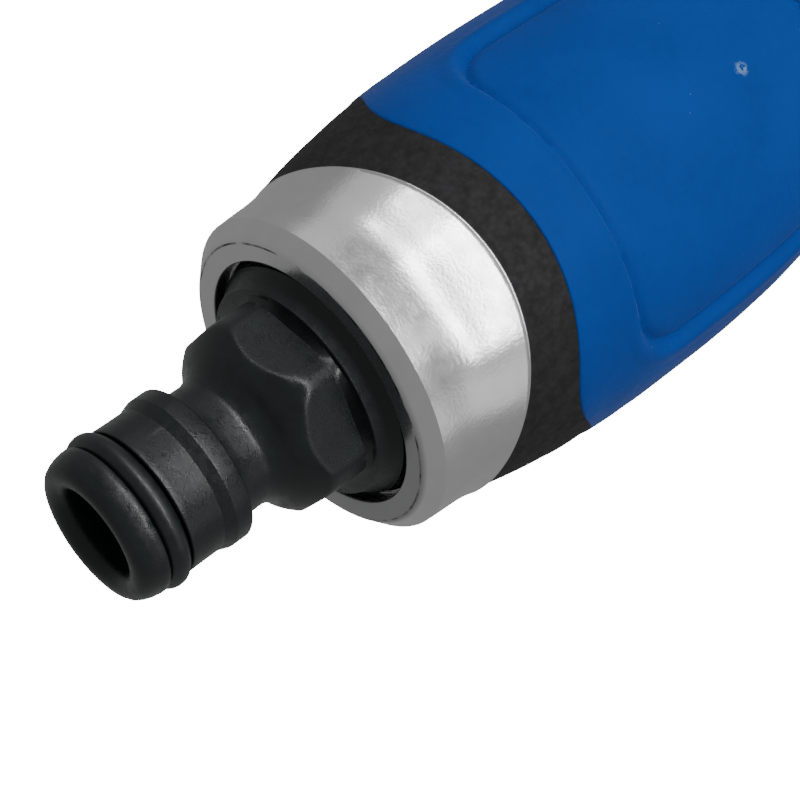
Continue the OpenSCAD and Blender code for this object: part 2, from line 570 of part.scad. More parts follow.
module dial_grip_ring() color([0.05, 0.31, 0.6]) in_barrel() translate([nose_x, 0, 0])
  difference() {
    xrev([[cup_r + 0.05, 2.35], [dial_r - 1.1, 2.35], [dial_r - 0.5, 3], [dial_r - 0.1, 7],
      [dial_r - 0.1, 14.6], [dial_r - 0.4, 15.9], [cup_r + 0.05, 15.9]]);
    for (k = [0:15]) rotate([22.5*k + 11.25, 0, 0]) translate([0, dial_r + 2.2, 0]) xcyl(3.1, 1, 17);
  }

module face_bezel() color([0.72, 0.72, 0.74]) in_barrel() translate([nose_x, 0, 0])
  xrev([[cup_r + 0.05, 16], [dial_r - 0.4, 16], [dial_r, 16.5], [dial_r, 20.6],
    [dial_r - 0.8, 21.6], [dial_r - 2, 22], [plate_seat_r - 0.4, 22], [plate_seat_r - 1, 21.4],
    [plate_seat_r - 1, 20.05], [cup_r + 0.05, 20.05]]);

hose_tail();
tail_o_ring();
inlet_strainer();
inlet_washer();
end_collar();
handle_shell();
grip_sleeve();
body_casting();
index_pin();
valve_seat();
chamber_plug();
plug_o_ring();
valve_spring();
gland_nut();
gland_o_ring();
valve_plunger();
plunger_seal();
plunger_cap();
rear_cover();
cover_screws();
trigger();
trigger_pad();
trigger_pin();
pin_clip();
flow_gland();
flow_plug();
flow_o_ring();
flow_knob();
knob_screw();
outlet_seal();
seal_spring();
detent_ball();
detent_spring();
pivot_washer();
pivot_screw();
dial_body();
face_plate();
nozzle_inserts();
dial_grip_ring();
face_bezel();
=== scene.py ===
"""Garden hose spray gun: the pieces that show, their finishes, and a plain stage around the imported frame."""
import json
import math

import bpy
from bpy.props import FloatProperty, FloatVectorProperty, IntProperty, PointerProperty
from mathutils import Matrix, Vector


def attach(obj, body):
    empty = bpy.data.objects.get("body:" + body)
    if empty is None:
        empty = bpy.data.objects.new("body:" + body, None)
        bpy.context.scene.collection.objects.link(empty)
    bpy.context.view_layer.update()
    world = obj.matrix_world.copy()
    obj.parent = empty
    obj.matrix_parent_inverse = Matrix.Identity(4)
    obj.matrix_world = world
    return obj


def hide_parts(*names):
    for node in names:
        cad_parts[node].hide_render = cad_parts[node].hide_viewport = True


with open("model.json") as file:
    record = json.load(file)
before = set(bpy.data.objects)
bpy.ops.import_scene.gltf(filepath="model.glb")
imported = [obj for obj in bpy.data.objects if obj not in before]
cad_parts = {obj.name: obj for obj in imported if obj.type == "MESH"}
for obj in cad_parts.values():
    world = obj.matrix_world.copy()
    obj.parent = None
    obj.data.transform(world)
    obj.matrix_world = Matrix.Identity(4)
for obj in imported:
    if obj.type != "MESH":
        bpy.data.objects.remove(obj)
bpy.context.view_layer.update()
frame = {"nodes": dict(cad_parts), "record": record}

bl_info = {
    "name": "Garden Hose Spray Gun",
    "version": (1, 0, 0),
    "blender": (4, 5, 0),
    "location": "View3D > Sidebar > Spray Gun",
    "description": "Builds the visible pieces of a garden hose spray gun around its frame",
    "category": "Add Mesh",
}

MM = 0.001


# Millimetres.
GATE = (-0.8, 76, 18.4)      # the mark where the grip's rubber entered its mould
WORN_LINE = 15.32            # radius of the worn line on the collar's face
SLEEVE_BORE = 16.55          # inside radius of the grip sleeve
TAIL_WIDE = 14.0             # radius that the spanner grip is drawn in from
RING_TOP = 8.15              # outside radius of the rubber ring in its groove


# ---------------------------------------------------------------- sizes and colours

def length(name, description, default, low, high):
    return FloatProperty(name=name, description=description, default=default*MM,
                         min=low*MM, max=high*MM, unit="LENGTH", subtype="DISTANCE", precision=5)


def tint(name, description, default):
    return FloatVectorProperty(name=name, description=description, default=default,
                               min=0, max=1, size=3, subtype="COLOR")


class TailSizes(bpy.types.PropertyGroup):
    bore: length("Bore radius", "Radius of the water way at the mouth", 4.45, 3.5, 5)
    lip: length("Lip radius", "Radius of the soft ring in front of the rubber ring", 7.7, 7, 8.2)
    bead: length("Bead radius", "Radius of the bead that the hose connector locks behind", 8.08, 7.8, 8.3)
    neck: length("Neck radius", "Radius of the neck behind the bead", 6.8, 6, 7.4)
    flats: length("Hexagon across flats", "Width of the spanner hexagon", 19.0, 17, 20.4)
    corner: length("Hexagon corners", "Radius over the hexagon's rounded corners", 10.3, 9.8, 11)
    ring: length("Rubber ring section", "Section radius of the rubber ring", 1.17, 0.8, 1.4)


class CollarSizes(bpy.types.PropertyGroup):
    face: length("Face height", "Distance of the flat face from the mouth", 26, 24, 30)
    hole: length("Hole radius", "Radius of the hole in the face", 13.3, 12.5, 14.5)
    arch: length("Arch height", "Height of the rear edge at the middle of a broad side", 39.6, 37, 42)


class GripSizes(bpy.types.PropertyGroup):
    edge: length("Sleeve edge rounding", "Rounding of the sleeve's two ends", 0.5, 0.1, 1)
    panel: length("Panel depth", "Depth of the inset panel on each broad side", 0.85, 0, 1.2)
    rows: IntProperty(name="Rows", description="Rows of faces along the sleeve", default=140, min=40, max=200)


class Finishes(bpy.types.PropertyGroup):
    blue: tint("Blue rubber", "Colour of the moulded rubber sleeve", (0.0, 0.05, 0.29))
    plastic: tint("Black plastic", "Colour of the hose tail, covers and knob", (0.0068, 0.0094, 0.0098))
    band: tint("Black band", "Colour of the grained band", (0.013, 0.013, 0.014))
    silver: tint("Satin silver", "Colour of the painted casting and collar", (0.72, 0.72, 0.73))


def power(name, description, default):
    return FloatProperty(name=name, description=description, default=default, min=0, max=100, unit="POWER")


def brightness(name, description, default):
    return FloatProperty(name=name, description=description, default=default, min=0, max=100)


class StageSizes(bpy.types.PropertyGroup):
    top: power("Top light", "Power of the long light across the gun, straight above", 3.1)
    back: power("Back light", "Power of the long light above the far side", 0.05)
    side: power("Side light", "Power of the narrow light on the left", 0.85)
    card: power("Side cards", "Power of the dim broad light on each side", 0.2)
    room: brightness("Room", "Brightness of the white room", 0.29)
    floor: brightness("Floor", "Brightness of the white floor", 16)


# ---------------------------------------------------------------- making and shaping

def clear():
    if bpy.context.mode != "OBJECT":
        bpy.ops.object.mode_set(mode="OBJECT")
    bpy.ops.object.select_all(action="DESELECT")


def take(ob):
    clear()
    ob.select_set(True)
    bpy.context.view_layer.objects.active = ob
    return ob


def name_new(name):
    ob = bpy.context.object
    ob.name = ob.data.name = name
    return ob


def arc(cx, cy, radius, start, end, steps):
    """Points of an arc in an outline, angles in degrees from the radius axis."""
    return [(cx + radius*math.cos(math.radians(start + (end - start)*k/steps)),
             cy + radius*math.sin(math.radians(start + (end - start)*k/steps))) for k in range(steps + 1)]


def rounded(corners, steps=4):
    """An outline of (radius, height) corners; a third number rounds that corner."""
    made = []
    for i, c in enumerate(corners):
        if len(c) < 3 or i == 0 or i == len(corners) - 1:
            made.append((c[0], c[1]))
            continue
        p = Vector(c[:2])
        a, b = Vector(corners[i - 1][:2]) - p, Vector(corners[i + 1][:2]) - p
        la, lb = a.length, b.length
        a.normalize(), b.normalize()
        half = a.angle(b)/2
        cut = min(c[2]/math.tan(half), 0.48*la, 0.48*lb)
        bend = cut*math.tan(half)
        centre = p + (a + b).normalized()*(bend/math.sin(half))
        s, t = p + a*cut - centre, p + b*cut - centre
        turn = s.angle_signed(t)
        for k in range(steps + 1):
            q = s.copy()
            q.rotate(Matrix.Rotation(-turn*k/steps, 2))
            made.append(tuple(centre + q))
    return made


def turned(name, outline, steps):
    """A shape turned about the Y axis from (radius, height) points in millimetres."""
    clear()
    bpy.ops.mesh.primitive_plane_add(size=MM, location=(0, 0, 0))
    ob = name_new(name)
    bpy.ops.object.mode_set(mode="EDIT")
    bpy.ops.mesh.select_all(action="SELECT")
    bpy.ops.mesh.merge(type="CENTER")
    r, y = outline[0]
    bpy.ops.transform.translate(value=(r*MM, y*MM, 0))
    for r1, y1 in outline[1:]:
        step = ((r1 - r)*MM, (y1 - y)*MM, 0)
        bpy.ops.mesh.extrude_region_move(TRANSFORM_OT_translate={"value": step})
        r, y = r1, y1
    bpy.ops.mesh.select_all(action="SELECT")
    bpy.ops.mesh.spin(steps=steps, angle=2*math.pi, center=(0, 0, 0), axis=(0, 1, 0))
    bpy.ops.mesh.select_all(action="SELECT")
    bpy.ops.mesh.remove_doubles(threshold=2e-6)
    bpy.ops.mesh.normals_make_consistent(inside=False)
    bpy.ops.object.mode_set(mode="OBJECT")
    return ob


def pushed(ob, amount, direction="NORMAL"):
    """Moves the skin by amount(x, y, z) millimetres along its normal or one axis."""
    amounts = [amount(*(v.co/MM)) for v in ob.data.vertices]
    for sign in (1, -1):
        most = max(sign*a for a in amounts)
        if most < 1e-5:
            continue
        group = ob.vertex_groups.new(name="push")
        for i, a in enumerate(amounts):
            if sign*a > 0:
                group.add([i], sign*a/most, "REPLACE")
        m = ob.modifiers.new("push", "DISPLACE")
        m.direction = direction
        m.mid_level = 0
        m.strength = sign*most*MM
        m.vertex_group = "push"
        take(ob)
        bpy.ops.object.modifier_apply(modifier=m.name)
        ob.vertex_groups.clear()
    return ob


def reshaped(ob, place):
    """Moves each point of a skin to place(x, y, z), given and answered in millimetres."""
    moves = [Vector(place(*(v.co/MM))) - v.co/MM for v in ob.data.vertices]
    for axis, name in enumerate("XYZ"):
        along = iter([m[axis] for m in moves])
        pushed(ob, lambda x, y, z: next(along), name)
    return ob


def softened(ob, width):
    """Rounds the edges sharper than 30 degrees, over width millimetres."""
    m = ob.modifiers.new("soften", "BEVEL")
    m.width, m.segments = width*MM, 3
    m.limit_method, m.angle_limit = "ANGLE", math.radians(30)
    m.use_clamp_overlap = True
    take(ob)
    bpy.ops.object.modifier_apply(modifier=m.name)
    return ob


def shown(ob, body, finish, slot, *nodes, smooth):
    """Finishes a piece: smooth shading, its material, its body and the solids that it stands for."""
    take(ob)
    bpy.ops.object.shade_smooth_by_angle(angle=math.radians(smooth))
    ob.data.materials.clear()
    ob.data.materials.append(FINISHES[finish])
    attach(ob, body)
    if nodes:
        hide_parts(*nodes)


def copied(node):
    """A welded copy of a CAD node, its flat faces each made one again."""
    ob = bpy.data.objects.new(node + "_piece", frame["nodes"][node].data.copy())
    bpy.context.scene.collection.objects.link(ob)
    take(ob)
    bpy.ops.object.mode_set(mode="EDIT")
    bpy.ops.mesh.select_all(action="SELECT")
    bpy.ops.mesh.remove_doubles(threshold=1e-6)
    bpy.ops.mesh.customdata_custom_splitnormals_clear()
    bpy.ops.mesh.mark_sharp(clear=True)
    bpy.ops.mesh.dissolve_limited(angle_limit=math.radians(0.5))
    bpy.ops.object.mode_set(mode="OBJECT")
    return ob


# ---------------------------------------------------------------- finishes

class Finish:
    """A procedural material on the object's own coordinates."""

    def __init__(self, name, metallic=0.0, rough=0.5, level=0.5, sheen=0.0):
        self.material = bpy.data.materials.new(name)
        self.material.use_nodes = True
        self.tree = self.material.node_tree
        self.shader = self.tree.nodes["Principled BSDF"]
        self.shader.inputs["Metallic"].default_value = metallic
        self.shader.inputs["Roughness"].default_value = rough
        self.shader.inputs["Specular IOR Level"].default_value = level
        self.shader.inputs["Sheen Weight"].default_value = sheen
        self.shader.inputs["Sheen Roughness"].default_value = 0.4
        self.place = self.tree.nodes.new("ShaderNodeTexCoord").outputs["Object"]
        self.relief = None

    def node(self, kind, inputs=(), **settings):
        n = self.tree.nodes.new("ShaderNode" + kind)
        for k, v in settings.items():
            setattr(n, k, v)
        for k, v in dict(inputs).items():
            if isinstance(v, bpy.types.NodeSocket):
                self.tree.links.new(v, n.inputs[k])
            else:
                n.inputs[k].default_value = v
        return n

    def noise(self, size, detail=2.0, stretch=(1, 1, 1)):
        """Cloudy pattern with features of about size millimetres."""
        at = self.place
        if stretch != (1, 1, 1):
            at = self.node("Mapping", {"Vector": at, "Scale": stretch}).outputs[0]
        return self.node("TexNoise", {"Vector": at, "Scale": 1/(size*MM), "Detail": detail}).outputs["Fac"]

    def cells(self, size, feature="F1"):
        """Pebbled pattern with cells of about size millimetres."""
        return self.node("TexVoronoi", {"Vector": self.place, "Scale": 1/(size*MM)},
                         feature=feature).outputs["Distance"]

    def fade(self, value, low, high, to_low=0.0, to_high=1.0):
        return self.node("MapRange", {"Value": value, "From Min": low, "From Max": high,
                                      "To Min": to_low, "To Max": to_high}, clamp=True).outputs[0]

    def product(self, a, b):
        return self.node("Math", {0: a, 1: b}, operation="MULTIPLY").outputs[0]

    def near(self, value, middle, within):
        """1 where the value lies within that distance of the middle, 0 elsewhere."""
        return self.node("Math", {0: value, 1: middle, 2: within}, operation="COMPARE").outputs[0]

    def size(self, vector):
        return self.node("VectorMath", {0: vector}, operation="LENGTH").outputs["Value"]

    def mixed(self, mask, a, b):
        n = self.node("Mix", data_type="RGBA")
        for k, v in ((0, mask), (6, a), (7, b)):
            if isinstance(v, bpy.types.NodeSocket):
                self.tree.links.new(v, n.inputs[k])
            else:
                n.inputs[k].default_value = (*v, 1) if k else v
        return n.outputs[2]

    def colour(self, socket):
        self.tree.links.new(socket, self.shader.inputs["Base Color"])

    def gloss(self, socket):
        self.tree.links.new(socket, self.shader.inputs["Roughness"])

    def bump(self, height, depth):
        """Adds a relief depth millimetres high."""
        n = self.node("Bump", {"Height": height, "Distance": depth*MM})
        if self.relief:
            self.tree.links.new(self.relief, n.inputs["Normal"])
        self.relief = n.outputs[0]
        self.tree.links.new(self.relief, self.shader.inputs["Normal"])


FINISHES = {}


def lighter(c, k):
    return tuple(min(1, v*k) for v in c)


def make_finishes(s):
    f = Finish("black_moulded_plastic", rough=0.28, level=0.42)
    cloud, blotch, grain = f.noise(2.5), f.noise(0.9, 3), f.noise(0.13, 2)
    f.colour(f.mixed(f.fade(cloud, 0.3, 0.7), s.plastic, lighter(s.plastic, 1.5)))
    f.gloss(f.fade(blotch, 0.3, 0.7, 0.2, 0.36))
    f.bump(blotch, 0.012)
    f.bump(grain, 0.02)
    FINISHES["plastic"] = f.material

    f = Finish("grained_black_rubber", rough=0.7, level=0.25)
    pebble, grain = f.cells(0.5, "SMOOTH_F1"), f.noise(0.16, 3)
    f.colour(f.mixed(f.fade(f.noise(1.2, 3), 0.35, 0.7), s.band, lighter(s.band, 1.8)))
    f.gloss(f.fade(pebble, 0.1, 0.7, 0.6, 0.8))
    f.bump(pebble, 0.06)
    f.bump(grain, 0.03)
    FINISHES["band"] = f.material

    f = Finish("blue_moulded_rubber", rough=0.6, level=0.1, sheen=0.09)
    cloud, mottle, grain = f.noise(9, 3), f.noise(1.1, 3), f.noise(0.25, 2)
    base = f.mixed(f.fade(cloud, 0.3, 0.7), lighter(s.blue, 0.92), lighter(s.blue, 1.08))
    base = f.mixed(f.fade(mottle, 0.35, 0.75, 0, 0.3), base, lighter(s.blue, 1.25))
    specks = f.fade(f.cells(2.6), 0.0, 0.03, 0.45, 0)
    base = f.mixed(specks, base, (0.4, 0.55, 0.7))
    # a pale scar where the gate of the mould was
    gate = tuple(v*MM for v in GATE)
    away = f.node("VectorMath", {0: f.place, 1: gate}, operation="DISTANCE").outputs["Value"]
    scar = f.product(f.fade(away, 0.3*MM, MM, 1, 0), f.fade(f.noise(0.5, 2), 0.42, 0.52))
    f.colour(f.mixed(f.product(scar, 0.6), base, (0.3, 0.48, 0.66)))
    f.gloss(f.fade(mottle, 0.3, 0.7, 0.55, 0.7))
    f.bump(mottle, 0.04)
    f.bump(grain, 0.03)
    FINISHES["blue"] = f.material

    f = Finish("satin_silver_paint", metallic=0.95, rough=0.24)
    wave, peel = f.noise(1.8, 2), f.cells(0.3, "SMOOTH_F1")
    base = f.mixed(f.fade(f.noise(5, 3), 0.35, 0.7), s.silver, lighter(s.silver, 0.92))
    # painted shade: the collar's flat face is painted darker, more so towards +X, with a worn line near its rim
    split = f.node("SeparateXYZ", {0: f.place})
    flat = f.node("CombineXYZ", {0: split.outputs[0], 2: split.outputs[2]}).outputs[0]
    face = f.fade(split.outputs[1], 26.05*MM, 26.4*MM, 1, 0)
    # painted shade on the face, weakest at -X and strongest at +X
    painted_face_shade = f.product(face, f.fade(split.outputs[0], -12*MM, 12*MM, 0.08, 0.8))
    base = f.mixed(painted_face_shade, base, lighter(s.silver, 0.45))
    line = f.product(f.near(f.size(flat), WORN_LINE*MM, 0.1*MM), face)
    gaps = f.fade(f.noise(2.2, 4), 0.4, 0.62)
    f.colour(f.mixed(f.product(line, gaps), base, (0.08, 0.08, 0.085)))
    f.gloss(f.fade(f.noise(1.4, 2), 0.3, 0.7, 0.21, 0.27))
    f.bump(wave, 0.006)
    f.bump(peel, 0.008)
    FINISHES["silver"] = f.material

    f = Finish("machined_brass", metallic=1.0, rough=0.3)
    f.colour(f.mixed(f.fade(f.noise(2, 3), 0.3, 0.7), (0.72, 0.5, 0.2), (0.62, 0.42, 0.17)))
    f.bump(f.noise(0.12, 2, (8, 1, 1)), 0.006)
    FINISHES["brass"] = f.material

    f = Finish("stainless_steel", metallic=1.0, rough=0.28)
    f.colour(f.mixed(f.fade(f.noise(2, 3), 0.3, 0.7), (0.62, 0.62, 0.63), (0.52, 0.52, 0.54)))
    f.bump(f.noise(0.15, 2, (1, 1, 6)), 0.006)
    FINISHES["steel"] = f.material

    f = Finish("soft_black_rubber", rough=0.38)
    f.colour(f.mixed(f.fade(f.noise(1.5), 0.3, 0.7), (0.006, 0.008, 0.009), (0.011, 0.014, 0.015)))
    f.gloss(f.fade(f.noise(0.5), 0.3, 0.7, 0.3, 0.45))
    f.bump(f.noise(0.2, 2), 0.006)
    FINISHES["rubber"] = f.material

    f = Finish("white_nylon", rough=0.4)
    f.colour(f.mixed(f.fade(f.noise(3), 0.3, 0.7), (0.74, 0.73, 0.69), (0.8, 0.79, 0.76)))
    f.bump(f.noise(0.3, 2), 0.01)
    FINISHES["nylon"] = f.material


SLOT_FINISH = {"black_plastic": "plastic", "blue_rubber": "blue", "black_rubber": "rubber",
               "satin_silver": "silver", "brass": "brass", "stainless_steel": "steel",
               "white_nylon": "nylon"}


class SPRAY_OT_finishes(bpy.types.Operator):
    """Makes the finishes and gives every solid of the frame its own"""
    bl_idname = "spray_gun.finishes"
    bl_label = "Finishes"

    def execute(self, context):
        make_finishes(context.scene.gun_finishes)
        for part in frame["record"]["subparts"]:
            ob = frame["nodes"][part["node"]]
            ob.data.materials.clear()
            ob.data.materials.append(FINISHES[SLOT_FINISH[part["material_slot"]]])
        return {"FINISHED"}


def smooth_between(table, y):
    """Values of a table at height y, on a smooth curve through its rows."""
    rows = [r[0] for r in table]
    i = max(0, min(len(rows) - 2, sum(1 for r in rows[1:-1] if r <= y)))
    t = (y - rows[i])/(rows[i + 1] - rows[i])
    out = []
    for c in range(1, len(table[0])):
        p0, p1, p2, p3 = (table[max(0, min(len(rows) - 1, i + k))][c] for k in (-1, 0, 1, 2))
        y0, y1, y2, y3 = (rows[max(0, min(len(rows) - 1, i + k))] for k in (-1, 0, 1, 2))
        h = y2 - y1
        m1 = (p2 - p0)/(y2 - y0)*h if y2 > y0 else 0
        m2 = (p3 - p1)/(y3 - y1)*h if y3 > y1 else 0
        out.append((2*t**3 - 3*t*t + 1)*p1 + (t**3 - 2*t*t + t)*m1 + (-2*t**3 + 3*t*t)*p2 + (t**3 - t*t)*m2)
    return out


def at(radius, x, z):
    """The place on a circle of that radius in the direction of (x, z)."""
    k = radius/max(1e-6, math.hypot(x, z))
    return x*k, z*k


def lesser(a, b, blend):
    """The smaller of two numbers, with a soft change from one to the other."""
    return min(a, b) - max(blend - abs(a - b), 0)**2/(4*blend)


# ---------------------------------------------------------------- hose tail

# Radius of the flare in front of the hexagon at a height.
FLARE = [(15, 6.6), (15.5, 6.64), (16, 6.8), (16.6, 7.1), (17.2, 7.62), (17.8, 8.45), (18.1, 8.82), (18.5, 9.2),
         (19.1, 9.7), (19.7, 10.15), (20.3, 10.5), (21, 11), (25, 14)]


def spanner_grip(x, y, z, flats, corner):
    """Radius of the spanner hexagon and the flare in front of it; the corner on the +Z side stands out most."""
    off = math.degrees(math.atan2(x, z)) % 60 - 30
    across = flats/2/math.cos(math.radians(off)) - 0.05*math.cos(math.radians(off*6))
    corner += 0.4*max(0, z/math.hypot(x, z))**6
    return lesser(lesser(across, corner, 0.3), smooth_between(FLARE, y)[0], 0.3)


def nib(x, y, z, at_x, at_y, at_z, height, spread):
    """Height of a small moulding bump or dent around a point."""
    return height*math.exp(-((x - at_x)**2 + (y - at_y)**2 + (z - at_z)**2)/spread**2)


class SPRAY_OT_hose_tail(bpy.types.Operator):
    """Quick-connect hose tail: lip, ring groove, bead, neck, hexagon, flange and thread"""
    bl_idname = "spray_gun.hose_tail"
    bl_label = "Hose tail"

    def execute(self, context):
        s = context.scene.gun_tail
        bore, lip, bead, neck, flats = s.bore/MM, s.lip/MM, s.bead/MM, s.neck/MM, s.flats/MM
        corner, ring = s.corner/MM, s.ring/MM
        floor = RING_TOP - 2*ring - 0.03
        outline = [(8.5, 42), (8.5, 24.5), (bore, 20), (bore, 12), (bore, 6), (bore, 1.6),
                   (bore + 0.04, 1.2), (bore + 0.2, 0.75), (bore + 0.5, 0.35), (bore + 0.95, 0.1),
                   (5.9, 0), (6.35, 0.05), (6.75, 0.2), (7.1, 0.5), (7.35, 0.95), (7.55, 1.5), (7.66, 2.1)]
        outline += rounded([(lip, 2.3), (lip, 2.92, 0.18), (floor, 2.92, 0.2), (floor, 5.52, 0.2),
                            (7.66, 5.52, 0.16), (7.64, 6.2)])
        outline += rounded([(7.63, 7), (7.63, 9.15, 0.3), (bead - 0.02, 10.35, 0.4), (bead, 12.15, 0.2),
                            (neck, 12.3, 0.15), (neck - 0.14, 12.8), (neck - 0.18, 13.6), (neck - 0.2, 15)])
        outline += [(TAIL_WIDE, 15.2 + 0.2*k) for k in range(25)]
        outline += [(TAIL_WIDE, 20.5 + 0.5*k) for k in range(8)]
        outline += rounded([(10.7, 24.5), (11.25, 24.52, 0.1), (11.32, 24.85), (12.35, 26.45),
                            (12.55, 26.6, 0.08), (12.6, 26.95), (12.6, 28.2, 0.2), (11.3, 28.4),
                            (11.3, 29.3), (12.2, 29.5)], 3)
        for k in range(5):
            y = 29.6 + 2.5*k
            outline += [(12.2, y), (13.0, y + 0.35), (13.1, y + 0.75), (12.2, y + 1.3)]
        body = turned("hose_tail_piece", outline + [(12.2, 41.6), (11.8, 42), (8.5, 42)], 240)

        def drawn_in(x, y, z):
            if math.hypot(x, z) < TAIL_WIDE - 0.1:
                return x, y, z
            nx, nz = at(spanner_grip(x, y, z, flats, corner), x, z)
            return nx, y, nz
        reshaped(body, drawn_in)
        pushed(body, lambda x, y, z: nib(x, y, z, -6.6, 8.3, 3.8, 0.14, 0.4)
               + nib(x, y, z, -4.6, 9.3, 6.3, 0.12, 0.35)
               + nib(x, y, z, -5.5, 10.6, 5.9, 0.1, 0.5)
               - nib(x, y, z, 2.2, 2.8, 7.4, 0.08, 0.3))
        shown(body, "gun", "plastic", "black_plastic", "hose_tail", smooth=38)

        c = RING_TOP - ring
        section = [(c + (ring + (0.035 if a in (20, 30) else 0))*math.cos(math.radians(a)),
                    4.2 + ring*math.sin(math.radians(a))) for a in range(0, 370, 10)]
        o_ring = turned("tail_o_ring_piece", section, 160)
        shown(o_ring, "gun", "rubber", "black_rubber", "tail_o_ring", smooth=60)
        return {"FINISHED"}


# ---------------------------------------------------------------- collar, band and sleeve

def collar_edge(x):
    """Height of the collar's rear edge at distance x from the middle of a broad side."""
    return 2.1 + math.sqrt(37.5**2 - x*x)


def band_edge(x, z):
    """Height where the black band meets the blue sleeve: a broad arch, and a soft tongue on each edge."""
    from_edge = 90 - math.degrees(math.atan2(abs(x), abs(z)))
    return -7.3 + math.sqrt(52**2 - x*x) + 7.3*math.exp(-(from_edge/25)**2)


# Radius of the collar's outside at a height.
COLLAR = [(26, 15.9), (27, 16.5), (27.6, 17.1), (28.2, 17.15), (29, 17.2), (30, 17.25), (31, 17.31), (32, 17.4),
          (33, 17.56), (34, 17.79), (35, 18.05), (36.5, 18.41), (38, 18.75), (40.5, 19.25)]


class SPRAY_OT_end_collar(bpy.types.Operator):
    """Satin silver end collar with a flat face, a rounded rim and an arched rear edge"""
    bl_idname = "spray_gun.end_collar"
    bl_label = "End collar"

    def execute(self, context):
        s = context.scene.gun_collar
        face, hole, end = s.face/MM, s.hole/MM, s.arch/MM
        start = 29.0
        heights = (start + (end - 0.3 - start)*k/24 for k in range(25))
        skin = [(smooth_between(COLLAR, y)[0], y) for y in heights]
        edge = smooth_between(COLLAR, end)[0]
        outline = rounded([(15.12, 38.9), (15.12, 29), (15.12, 28.1, 0.2), (hole, 28.1, 0.2), (hole, face, 0.3),
                           (15.5, face, 0.7), (17.1, 27.6, 0.9)], 6) + skin
        outline += rounded([(edge - 0.02, end - 0.25), (edge, end, 0.15), (15.12, end, 0.2), (15.12, 38.9)], 3)
        collar = turned("end_collar_piece", outline, 240)

        def arched(x, y, z):
            r = math.hypot(x, z)
            new = y + max(0, min(1, (y - start)/(end - start)))*(collar_edge(x) - end)
            if y > start and r > 15.5:
                x, z = at(r + smooth_between(COLLAR, new)[0] - smooth_between(COLLAR, y)[0], x, z)
            return x, new, z
        reshaped(collar, arched)
        shown(collar, "gun", "silver", "satin_silver", "end_collar", smooth=40)
        return {"FINISHED"}


# Half widths of the grip at a height: to the back, to the front and to each side.
GRIP = [(30, 17.5, 17.3, 17.45), (33, 17.75, 17.45, 17.6), (35, 18.15, 17.9, 18.05), (37, 18.65, 18.35, 18.5),
        (40, 19.25, 18.95, 19.1), (42.2, 19.6, 19.3, 19.45), (44.4, 19.98, 19.65, 19.7),
        (47.5, 20.35, 19.85, 19.75),
        (50.4, 20.6, 20.1, 19.6), (52.6, 20.7, 20.2, 19.5), (54.5, 20.8, 20.3, 19.4), (57, 20.9, 20.35, 19.3),
        (61, 21, 20.4, 19.25), (66, 21, 20.4, 19.2), (70.5, 20.95, 20.25, 19.1), (75.8, 20.85, 19.9, 18.95),
        (81.3, 20.7, 19.25, 18.8), (88, 20.55, 18.7, 18.6), (94, 20.5, 18.7, 18.5), (99, 20.5, 18.9, 18.5),
        (106, 20.6, 19.4, 18.5)]


def grip_radius(x, y, z):
    """Radius of the grip's skin in the direction of (x, z)."""
    back, front, side = smooth_between(GRIP, max(30, min(106, y)))
    r = math.hypot(x, z)
    across = back if x < 0 else front
    return 1/math.sqrt((x/r/across)**2 + (z/r/side)**2)


def to_grip(ob, base, below):
    """Sets a skin turned at radius base onto the grip, each point as deep under it as it was under base."""
    def place(x, y, z):
        r = math.hypot(x, z)
        k = max(0.0, min(1.0, (r - SLEEVE_BORE)/(base - SLEEVE_BORE)))
        nx, nz = at(r + min(1.0, 2*k)*(grip_radius(x, y, z) - below - base), x, z)
        return nx, y, nz
    return reshaped(ob, place)


def step(t):
    t = max(0.0, min(1.0, t))
    return t*t*(3 - 2*t)


def panel_distance(s, y):
    """Distance outside the rounded outline of the inset panel; s is the arc length from its middle."""
    c, m, h = 7.0, (51.6 + 88)/2, (88 - 51.6)/2
    a, b = abs(s) - (21.9 - c), abs(y - m) - (h - c)
    return (math.hypot(a, b) if a > 0 and b > 0 else max(a, b)) - c


def panel_depth(x, y, z, depth):
    """Depth of the inset panel below the grip's skin, with a slightly raised bank round it."""
    d = panel_distance(20.2*math.atan2(abs(x), abs(z)), y)
    return depth*(step(0.5 - d/0.9) + 0.5*math.exp(-((d + 0.55)/0.5)**2) - 0.15*step(1 - abs(d - 1.2)/1.2))


class SPRAY_OT_handle_band(bpy.types.Operator):
    """Hard black handle shell with the grained band that shows between collar and sleeve"""
    bl_idname = "spray_gun.handle_band"
    bl_label = "Handle shell and band"

    def execute(self, context):
        low, high, base, rows = 36.0, 44.0, 19.6, 16
        skin = [(base, low + (high - low)*k/rows) for k in range(rows + 1)]
        outline = ([(16.5, high + 0.05), (16.5, 60), (16.5, 85.9), (15, 85.9), (12.6, 85.9), (12.6, 46.2),
                    (15.2, 46.2), (15.2, low + 2), (15.2, low), (17.5, low)]
                   + skin + [(18.5, high + 0.05), (16.5, high + 0.05)])
        shell = turned("handle_shell_piece", outline, 240)

        def between_edges(x, y, z):
            gx, gz = at(base, x, z)
            bottom, top = collar_edge(gx) + 0.03, band_edge(gx, gz) - 0.03
            if y > high + 1:
                return x, y, z
            if math.hypot(x, z) < 16.4:
                return x, (bottom if y < low + 0.5 else y), z
            return x, bottom + (y - low)/(high - low)*(top - bottom), z
        reshaped(shell, between_edges)
        to_grip(shell, base, 0.12)
        shown(shell, "gun", "band", "black_plastic", "handle_shell", smooth=40)
        return {"FINISHED"}


